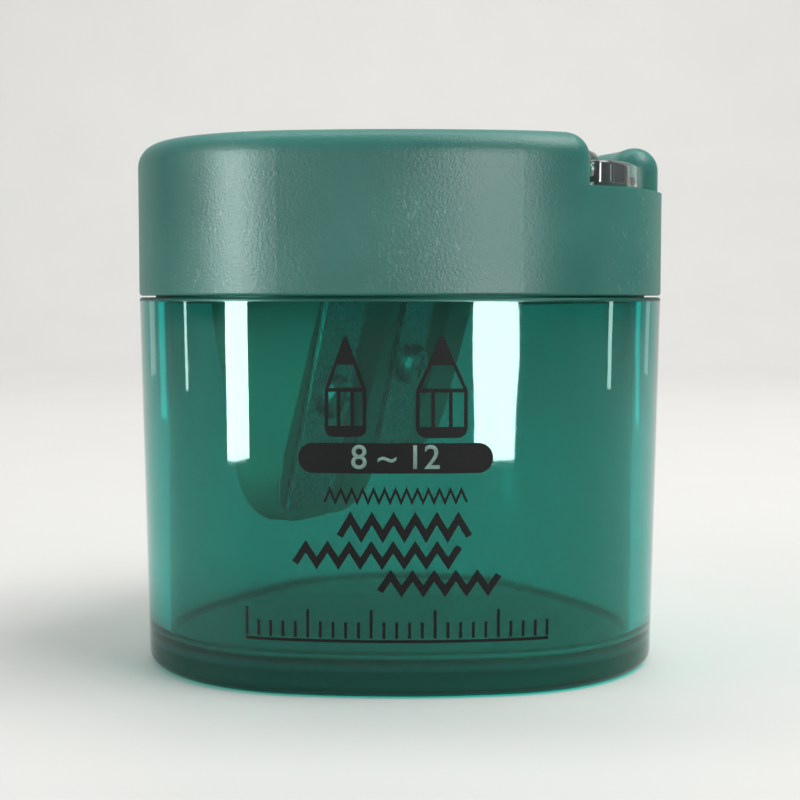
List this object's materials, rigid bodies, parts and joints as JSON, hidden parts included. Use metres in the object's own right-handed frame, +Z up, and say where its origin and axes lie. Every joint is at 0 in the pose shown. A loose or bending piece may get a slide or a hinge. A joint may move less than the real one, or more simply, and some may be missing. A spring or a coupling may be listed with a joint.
{
  "type": "pencil sharpener",
  "caption": "Rounded three-sided clear shavings container under a moulded head with a hinged clear lid and twin pencil holes.",
  "frame": {"origin": "centre of the plan outline, on the flat underside", "axes": "+Z up; -Y is the broad printed side; the thumb tab's corner points 30 degrees to the right of it, and the hinge is opposite the tab"},
  "size_m": [0.046, 0.0448, 0.0453],
  "materials": {
    "teal_clear": "clear tinted, polished",
    "teal_satin": "satin moulded",
    "lid_clear": "clear, polished",
    "block_plastic": "satin moulded",
    "pin_steel": "drawn wire",
    "blade_steel": "ground",
    "screw_steel": "turned",
    "screw_dark": "blackened"
  },
  "bodies": {
    "container": {"container": "teal_clear"},
    "head": {"head_shell": "teal_satin", "sharpener_block": "block_plastic", "blade_12mm": "blade_steel", "blade_8mm": "blade_steel", "blade_screw_12mm": "screw_steel", "blade_screw_8mm": "screw_steel", "block_screw": "screw_dark", "hinge_pin": "pin_steel"},
    "lid": {"lid": "lid_clear"}
  },
  "joints": [
    {"name": "head_lift", "type": "slide", "parent": "container", "child": "head", "axis": [0, 0, 1], "range_m": [0, 0.03]},
    {"name": "lid_hinge", "type": "hinge", "parent": "head", "child": "lid", "pos_m": [-0.01472, 0.0085, 0.0436], "axis": [-0.5, -0.866, 0], "range_deg": [0, 105]}
  ]
}
